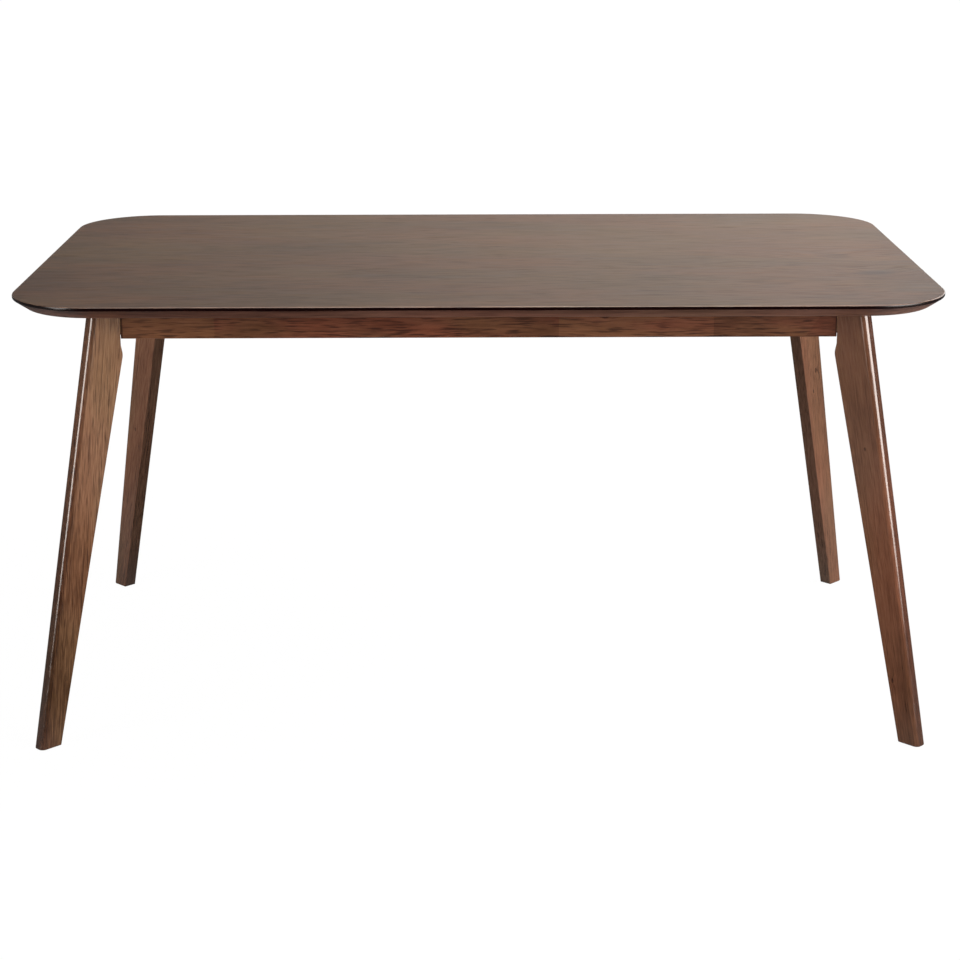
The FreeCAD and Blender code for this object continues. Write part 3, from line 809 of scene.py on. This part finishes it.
class DINING_OT_legs(Step, bpy.types.Operator):
    """Model the four splayed legs, rounded along the nose, with a knee under the apron"""

    bl_idname = "dining.legs"
    bl_label = "Legs"

    def execute(self, context):
        settings = context.scene.dining
        for corner in CORNERS:
            piece = self.board(settings.leg, corner)
            drill(piece, self.bores(settings, corner))
            close_piece(piece, self.stain_and_shade(settings.finish.legs, corner), "leg_" + corner)
        return {"FINISHED"}

    def board(self, sizes, corner):
        """A leg's board: its outline in the plane of its corner's diagonal, then its roundings."""
        low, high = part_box("leg_" + corner)
        middle = (low.z + high.z) / 2
        seat = -sizes.thick / 2
        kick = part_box("front_apron")[0].z - sizes.kick_below - middle
        knee = kick - sizes.knee_below
        floor, ceiling = low.z - middle, high.z - middle
        outer_foot = seat + sizes.top_width + sizes.splay
        inner_foot = outer_foot - sizes.foot_width
        inner_knee = seat - sizes.knee_proud
        lean = -sizes.splay / (ceiling - floor)
        piece = begin("cube", "leg_board_" + corner, size=1)
        stretch(1, sizes.thick, high.z - low.z)
        for level in (knee, kick):
            bpy.ops.mesh.select_all(action="SELECT")
            bpy.ops.mesh.bisect(plane_co=(0, 0, level), plane_no=(0, 0, 1))
        for level, inner in ((floor, inner_foot), (knee, inner_knee), (kick, seat), (ceiling, seat)):
            outer = outer_foot + lean * (level - floor)
            for side, target in ((-0.5, inner), (0.5, outer)):
                pick("VERT", lambda v: near(v.z, level) and near(v.x, side))
                bpy.ops.transform.translate(value=(target - side, 0, 0))

        def along_side(edge):
            """Whether just one of an edge's two faces is a broad side of the board."""
            return len({abs(face.normal.y) > 0.99 for face in edge.link_faces}) == 2

        self.pick_edges(
            lambda v: near(v.x, outer_foot + lean * (v.z - floor)),
            lambda edge: not near(edge.verts[0].co.z, edge.verts[1].co.z),
        )
        soften(sizes.nose_round, 9)
        pick("EDGE", lambda v: near(v.z, knee) and v.x < 0)
        turn = math.atan2(sizes.knee_proud, kick - knee) + math.atan2(inner_foot - inner_knee, knee - floor)
        soften(sizes.knee_round * math.tan(turn / 2), 5)
        slope = (inner_foot - inner_knee) / (floor - knee)
        self.pick_edges(
            lambda v: (
                v.x < seat + 1e-4 or near(v.z, floor)
                or near(v.x, inner_knee + slope * (v.z - knee), 2e-4)
            ),
            lambda edge: along_side(edge) or all(near(v.co.z, floor) for v in edge.verts),
        )
        soften(sizes.arris, 3)
        leave_edit()
        out = outward(corner)
        piece.rotation_euler = (0, 0, math.atan2(out.y, out.x))
        piece.location = corner_point(corner, 0, 0, middle)
        return piece

    def pick_edges(self, test, edge_test):
        """Selects the edges whose corners pass one test and that pass another."""
        pick("EDGE", test)
        mesh = bmesh.from_edit_mesh(bpy.context.object.data)
        for edge in mesh.edges:
            if edge.select and not edge_test(edge):
                edge.select_set(False)
        bmesh.update_edit_mesh(bpy.context.object.data)

    def bores(self, settings, corner):
        """The holes of a leg: two for the bolts, one for the glide and one for its nail."""
        fixing, glide = settings.fixing, settings.glide
        seat = -settings.leg.thick / 2
        back = fixing.block_back + fixing.washer_thick + fixing.nut_height + fixing.bolt_proud
        reach = fixing.bolt_length - back - seat + BEFORE + fixing.gap
        for height in bolt_heights(fixing):
            start = corner_point(corner, seat - BEFORE, 0, height)
            yield fixing.bolt / 2 + fixing.gap, start, outward(corner), reach
        foot = foot_point(corner, -BEFORE)
        yield glide.diameter / 2 + fixing.gap, foot, UP, glide.height + BEFORE
        reach = glide.nail_seat + glide.nail_length + fixing.gap + BEFORE
        yield glide.nail / 2 + fixing.gap, foot, UP, reach

    def stain_and_shade(self, base, corner):
        """A leg's stained wood with its painted light and shade, its grain slanted against the leg."""
        out = outward(corner)
        slant, seed, tint, lines, foot, edge, nose, knots_and_shadows = LEG_BOARDS[corner]
        turn = math.radians(LEG_LEAN - slant)
        axis = out * math.sin(turn) - UP * math.cos(turn)
        across = out * math.cos(turn) + UP * math.sin(turn)
        colour = tuple(part * share for part, share in zip(base, tint))
        grain = LEG_GRAIN._replace(pore_depth=lines, fibre_depth=0.6 + lines)
        return wood(
            f"leg_{corner}_stain", colour, axis, across, corner_point(corner, *LEG_MIDDLE), grain, seed,
            pith=(0.05, 0.06), knots_and_shadows=knots_and_shadows, foot=foot, inner=shade(INNER_SHADE_TINT, edge), nose=nose,
        )


class DINING_OT_blocks(Step, bpy.types.Operator):
    """Finish the corner blocks and the cross rail as plain wood"""

    bl_idname = "dining.blocks"
    bl_label = "Blocks and rail"

    def execute(self, context):
        base = context.scene.dining.finish.plain
        for number, corner in enumerate(CORNERS):
            block, out = "block_" + corner, outward(corner)
            dress(block, wood(
                block + "_plain", shade(base, 1 - 0.05 * number), (-out.y, out.x, 0), UP, centre(block),
                PLAIN_GRAIN, 2.5 * number, pith=(0.04, 0.03),
            ))
        middle = centre("cross_rail")
        rail = wood("rail_plain", base, (0, 1, 0), UP, middle, PLAIN_GRAIN, 4.4, pith=(0.03, 0.04))
        dress("cross_rail", rail)
        return {"FINISHED"}


class DINING_OT_dowels(Step, bpy.types.Operator):
    """Model the fluted dowels of the cross rail"""

    bl_idname = "dining.dowels"
    bl_label = "Dowels"

    def execute(self, context):
        reach = context.scene.dining.fixing.dowel_length
        low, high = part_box("rail_dowels")
        radius = high.x
        end = radius * 0.85
        chamfer = radius - end
        stations = ((end, 0), (radius, chamfer), (radius, reach - chamfer), (end, reach))
        sides = 36
        master = turned("dowel", stations, sides)

        def flute(v):
            """The number of a point's edge on the dowel's side, left over from threes."""
            return round(math.atan2(v.y, v.x) * sides / math.tau) % 3

        bpy.ops.object.mode_set(mode="EDIT")
        pick("VERT", lambda v: near(v.xy.length, radius) and flute(v) == 0)
        stretch(0.92, 0.92, 1)
        leave_edit()
        spots = [
            (Vector((0, (high.y - reach) * side, height)), Vector((0, side, 0)))
            for side in (-1, 1) for height in (low.z + radius, high.z - radius)
        ]
        base, middle = shade(context.scene.dining.finish.plain, 1.1), centre("rail_dowels")
        material = wood("dowel_plain", base, (0, 1, 0), UP, middle, PLAIN_GRAIN, 7.7, pith=(0.02, 0.03))
        place_copies(master, [("dowel_set", "rail_dowels", spots)], material)
        return {"FINISHED"}


def zinc(context):
    """The one finish of all the steel."""
    made = bpy.data.materials.get("zinc_plate")
    return made or plated_steel("zinc_plate", context.scene.dining.finish.steel)


class DINING_OT_screws(Step, bpy.types.Operator):
    """Model the wood screws with their threads and cross recesses"""

    bl_idname = "dining.screws"
    bl_label = "Wood screws"

    def execute(self, context):
        for node, (reach, seats) in screw_seats().items():
            master = self.screw(context.scene.dining.fixing, reach)
            name = node.replace("screws", "screw_set")
            place_copies(master, [(name, node, seats)], zinc(context))
        return {"FINISHED"}

    def screw(self, sizes, reach):
        """A pan-head screw along Z whose head sits on zero."""
        shank, head, tall = sizes.screw / 2, sizes.head / 2, sizes.head_height
        root, plain, point = shank * 0.68, reach * 0.35, reach - sizes.tip
        dome = ((0.6, -1), (0.69, -0.96), (0.83, -0.55), (0.94, -0.2), (0.99, -0.03), (0.99, 0))
        stations = [(head * across, tall * down) for across, down in dome] + [(shank, 0), (shank, plain)]
        stations += thread(shank, root, plain, point, sizes.screw_pitch)
        stations += [(root, point), (root * 0.6, point + sizes.tip * 0.45), (shank * 0.06, reach)]
        piece = turned("wood_screw", stations, 20)
        carve(piece, self.recess(head, tall))
        return piece

    def recess(self, head, tall):
        """A cross that narrows downwards, to be cut into a head."""
        bars, middle = [], (0, 0, -tall)
        for wide, long in ((0.27, 1.15), (1.15, 0.27)):
            bars.append(begin("cube", "recess_bar", size=1, location=middle))
            stretch(head * wide, head * long, tall * 1.3, middle)
            pick("VERT", lambda v: v.z > 0)
            stretch(0.55, 0.55, 1, middle)
            leave_edit()
        return gather("recess", bars)


class DINING_OT_bolts(Step, bpy.types.Operator):
    """Model the hanger bolts with their washers and nuts"""

    bl_idname = "dining.bolts"
    bl_label = "Bolts, washers and nuts"

    def execute(self, context):
        sizes = context.scene.dining.fixing
        washer = -sizes.block_back - sizes.washer_thick
        nut = washer - sizes.nut_height
        bolt = nut - sizes.bolt_proud
        levels = bolt_heights(sizes)
        kinds = ("bolts", bolt, self.bolt), ("washers", washer, self.washer), ("nuts", nut, self.nut)
        for kind, back, make in kinds:
            sets = [
                (f"{kind}_pair_{corner}", f"{kind}_{corner}", [
                    (corner_point(corner, back, 0, level), outward(corner)) for level in levels
                ])
                for corner in CORNERS
            ]
            place_copies(make(sizes), sets, zinc(context))
        return {"FINISHED"}

    def bolt(self, sizes):
        """A hanger bolt along Z: a machine thread, a plain middle, a wood thread and a point."""
        radius, reach = sizes.bolt / 2, sizes.bolt_length
        machine, plain, point = reach * 0.3, reach * 0.45, reach - sizes.bolt_tip
        shank, root = radius * 0.9, radius * 0.7
        stations = [(radius * 0.8, 0)]
        stations += thread(radius, radius * 0.85, radius * 0.1, machine, sizes.bolt_pitch)
        stations += [(shank, machine), (shank, plain)]
        stations += thread(radius, root, plain, point, sizes.bolt_pitch * 2.6)
        stations += [(root, point), (radius * 0.45, point + sizes.bolt_tip * 0.5), (radius * 0.2, reach)]
        return turned("hanger_bolt", stations)

    def washer(self, sizes):
        """A washer on Z with broken edges."""
        outer, inner, thick = sizes.washer / 2, sizes.bolt / 2 + sizes.gap, sizes.washer_thick
        soft = thick * 0.12
        high = thick - soft
        stations = [
            (outer, soft), (outer, high), (outer - soft, thick), (inner + soft, thick), (inner, high),
            (inner, soft), (inner + soft, 0), (outer - soft, 0), (outer, soft),
        ]
        return turned("washer", stations, 48, ring=True)

    def nut(self, sizes):
        """A hexagon nut on Z, chamfered at its corners and round its hole."""
        flat, tall, over = sizes.nut / 2, sizes.nut_height, 0.0001
        outer, hole = flat / math.cos(math.pi / 6), sizes.bolt / 2 + sizes.gap
        piece = turned("nut", [(outer, 0), (outer, tall)], 6)
        piece.rotation_euler = (0, 0, math.pi / 6)
        settle(piece)
        for name, ends, middle, depth, sides, operation in (
            ("nut_lens", flat * 0.94, outer * 1.01, (outer - flat) * 0.65, 48, "INTERSECT"),
            ("nut_bore", hole * 1.16, hole, hole * 0.15, 32, "DIFFERENCE"),
        ):
            stations = ((ends, -over), (middle, depth), (middle, tall - depth), (ends, tall + over))
            carve(piece, turned(name, stations, sides), operation)
        return piece


class DINING_OT_glides(Step, bpy.types.Operator):
    """Model the nylon glides in the feet and their nails"""

    bl_idname = "dining.glides"
    bl_label = "Glides"

    def execute(self, context):
        settings = context.scene.dining
        seats = {corner: (foot_point(corner, 0), UP) for corner in CORNERS}
        discs = [("glide_disc_" + corner, "glide_" + corner, [seat]) for corner, seat in seats.items()]
        nylon = moulded_nylon("glide_nylon", settings.finish.nylon)
        place_copies(self.glide(settings.glide, settings.fixing.gap), discs, nylon)
        nails = [("nail_set", "glide_nails", seats.values())]
        place_copies(self.nail(settings.glide), nails, zinc(context))
        return {"FINISHED"}

    def glide(self, sizes, gap):
        """A disc with a rounded lower edge and a countersunk hole."""
        outer, hole, tall, soft = sizes.diameter / 2, sizes.nail / 2 + gap, sizes.height, sizes.round
        stations = [
            (outer - soft, 0), (outer - soft * 0.3, soft * 0.3), (outer, soft), (outer, tall), (hole, tall),
            (hole, sizes.nail_seat), (hole + sizes.nail_seat * 0.7, 0), (outer - soft, 0),
        ]
        return turned("glide", stations, 48, ring=True)

    def nail(self, sizes):
        """A nail that points up, its head in the glide."""
        radius, low = sizes.nail / 2, sizes.nail_seat
        high = low + sizes.nail_length
        head = ((radius * 0.75, low), (radius, low + radius * 0.15))
        point = ((radius, high - radius * 2.5), (radius * 0.12, high))
        return turned("nail", head + point, 20)


class DINING_OT_brackets(Step, bpy.types.Operator):
    """Finish the steel brackets that hold the top"""

    bl_idname = "dining.brackets"
    bl_label = "Brackets"

    def execute(self, context):
        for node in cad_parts:
            if node.startswith("bracket_") and not node.endswith("screws"):
                dress(node, zinc(context))
        return {"FINISHED"}


# Each lamp: its place, what it points at, how wide and tall it is, and whether it shows in gloss
LAMPS = {
    "key": ((1.9, -3.1, 1.6), (0, 0, 0.6), 1.2, 1.2, False),
    "right": ((4.25, -2.71, 1.45), (0.65, -0.37, 1.3), 4.5, 2.4, True),
    "left": ((-3.4, -2.9, 1.4), (-0.65, -0.37, 1.3), 2.0, 2.6, True),
    "front": ((1.4, -4.6, 0.9), (0, 0, 0.6), 2.0, 1.2, False),
    "high": ((0.3, -3.4, 3.2), (0, 0, 0.7), 2.6, 0.5, True),
    "above": ((2.3, 0.2, 2.0), (0.3, 0, 0.7), 1.6, 1.2, False),
    "rear": ((-0.8, 3.4, 3.4), (0, 0, 0.5), 1.6, 1.2, False),
}
LAMP_COLOUR = (1.0, 0.92, 0.87)
# The camera's lens in millimetres, and where it stands and how it is turned
FOCAL_LENGTH, SENSOR_WIDTH = 81.049, 36
CAMERA_SPOT = (-0.01436, -3.74356, 1.41908)
CAMERA_DEGREES = (73.8824, 0.116, -0.2928)


class DINING_OT_stage(Step, bpy.types.Operator):
    """Set up the floor, the white room, the lamps and the camera"""

    bl_idname = "dining.stage"
    bl_label = "Studio"

    def execute(self, context):
        studio = context.scene.dining.studio
        self.floor(studio)
        self.room(context, studio)
        for name, (spot, aim, wide, tall, mirrored) in LAMPS.items():
            lamp = bpy.data.lights.new(name + "_lamp", "AREA")
            lamp.shape, lamp.color = "ELLIPSE", LAMP_COLOUR
            lamp.size, lamp.size_y, lamp.energy = wide, tall, getattr(studio, name)
            turn = (Vector(aim) - Vector(spot)).to_track_quat("-Z", "Y").to_euler()
            self.stand(context, lamp, spot, turn).visible_glossy = mirrored
        lens = bpy.data.cameras.new("camera")
        lens.lens, lens.sensor_width = FOCAL_LENGTH, SENSOR_WIDTH
        turn = tuple(math.radians(angle) for angle in CAMERA_DEGREES)
        context.scene.camera = self.stand(context, lens, CAMERA_SPOT, turn)
        context.scene.view_settings.view_transform = "Standard"
        return {"FINISHED"}

    def stand(self, context, data, spot, turn):
        """Puts a lamp or the camera in the studio."""
        holder = bpy.data.objects.new(data.name, data)
        holder.location, holder.rotation_euler = spot, turn
        holder.visible_camera = False
        context.scene.collection.objects.link(holder)
        return holder

    def bearings(self, shader, place):
        """X, Y and Z of a place, how far out it is, and a mask of what is beside and behind the table."""
        x, y, z = shader.parts(place)
        reach = (x * x + y * y + 0.0001) ** 0.5
        return x, y, z, reach, shader.spread(y / reach, -0.9, -0.45)

    def floor(self, studio):
        """A floor seen white but for the table's shadow, dim in what mirrors it, and clear from below."""
        bpy.ops.object.select_all(action="DESELECT")
        bpy.ops.mesh.primitive_plane_add(size=80, location=(0, 0, -0.0003))
        floor = bpy.context.object
        floor.name = "floor"
        shader = new_shader("white_floor")
        rays = shader.node("ShaderNodeLightPath")
        reach, sides = self.bearings(shader, shader.place())[3:]
        white = shader.node("ShaderNodeEmission", inputs={"Color": (1, 1, 1), "Strength": 1.02})
        gloss = shader.spread(reach, 1.3, 1.7, studio.room * 0.38, studio.room * 0.22)
        gloss = gloss * shader.spread(reach, 0.6, 0.9) * sides
        bright = shader.node("ShaderNodeEmission", inputs={"Color": gloss, "Strength": 1.0})
        matt = shader.node("ShaderNodeBsdfDiffuse", inputs={"Color": (0.7, 0.7, 0.7)})
        mirrored = rays.out("Is Glossy Ray").math("MAXIMUM", rays.out("Is Transmission Ray"))
        far = shader.spread(reach, 1.0, 2.4, 0.965, 1.0)
        top = shader.blend(rays.out("Is Camera Ray") * far, shader.blend(mirrored, matt, bright), white)
        below = shader.node("ShaderNodeNewGeometry").out("Backfacing")
        surface = shader.blend(below, top, shader.node("ShaderNodeBsdfTransparent"))
        shader.feed(shader.tree.nodes["Material Output"].inputs["Surface"], surface)
        floor.data.materials.append(shader.owner)

    def room(self, context, studio):
        """A room that the camera sees white and that glows mostly from above and behind the table."""
        world = bpy.data.worlds.new("white_room")
        context.scene.world = world
        shader = Shader(world)
        rays = shader.node("ShaderNodeLightPath")
        seen = rays.out("Is Camera Ray")
        x, y, z, reach, sides = self.bearings(shader, shader.node("ShaderNodeTexCoord", output="Generated"))
        rear = shader.spread(y / reach, 0.6, 0.9) * shader.spread(x, -0.3, 0.3, 0.15, 1.8)
        rear = rear * shader.spread(z, 0.05, 0.28, 2.6, 0.35)
        above = shader.spread(z, 0.86, 0.96) * shader.spread(x, -0.3, 0.3, 4.0, 9.0)
        raised = shader.spread(z, 0.15, 0.3)
        corner = shader.spread(x, 0.3, 0.6) * shader.spread(y, -0.15, -0.4) * raised * 9.0
        flank = shader.spread(x, 0.36, 0.46) * shader.spread(y, 0.3, 0.5) * raised * 5.0
        rim = (above + corner + flank) * rays.out("Is Glossy Ray")
        glow = (rear + rim + sides * 0.1 + shader.spread(z, 0.3, 0.9) * 0.3 + 0.12) * studio.room
        background = shader.tree.nodes["Background"]
        shader.feed(background.inputs["Color"], glow * (1 - seen) + seen)
        shader.feed(background.inputs["Strength"], 1.0)


class DINING_PT_panel(bpy.types.Panel):
    """Lists the steps and settings of the table."""

    bl_idname = "DINING_PT_panel"
    bl_label = "Dining Table"
    bl_space_type = "VIEW_3D"
    bl_region_type = "UI"
    bl_category = "Dining Table"

    def draw(self, context):
        for step in STEPS:
            self.layout.operator(step.bl_idname)
        for part in ("top", "leg", "fixing", "glide", "finish", "studio"):
            group = getattr(context.scene.dining, part)
            box = self.layout.box()
            for name in group.__annotations__:
                box.prop(group, name)


STEPS = (
    DINING_OT_stage, DINING_OT_top, DINING_OT_aprons, DINING_OT_legs, DINING_OT_blocks, DINING_OT_dowels,
    DINING_OT_screws, DINING_OT_bolts, DINING_OT_glides, DINING_OT_brackets,
)
GROUPS = (TopSizes, LegSizes, FixingSizes, GlideSizes, Finishes, Studio, DiningTable)
CLASSES = (*GROUPS, *STEPS, DINING_PT_panel)


def register():
    for kind in CLASSES:
        bpy.utils.register_class(kind)
    bpy.types.Scene.dining = bpy.props.PointerProperty(type=DiningTable)


def unregister():
    del bpy.types.Scene.dining
    for kind in reversed(CLASSES):
        bpy.utils.unregister_class(kind)


def main():
    register()
    bpy.ops.dining.stage()
    bpy.ops.dining.top()
    bpy.ops.dining.aprons()
    bpy.ops.dining.legs()
    bpy.ops.dining.blocks()
    bpy.ops.dining.dowels()
    bpy.ops.dining.screws()
    bpy.ops.dining.bolts()
    bpy.ops.dining.glides()
    bpy.ops.dining.brackets()


if __name__ == "__main__":
    main()
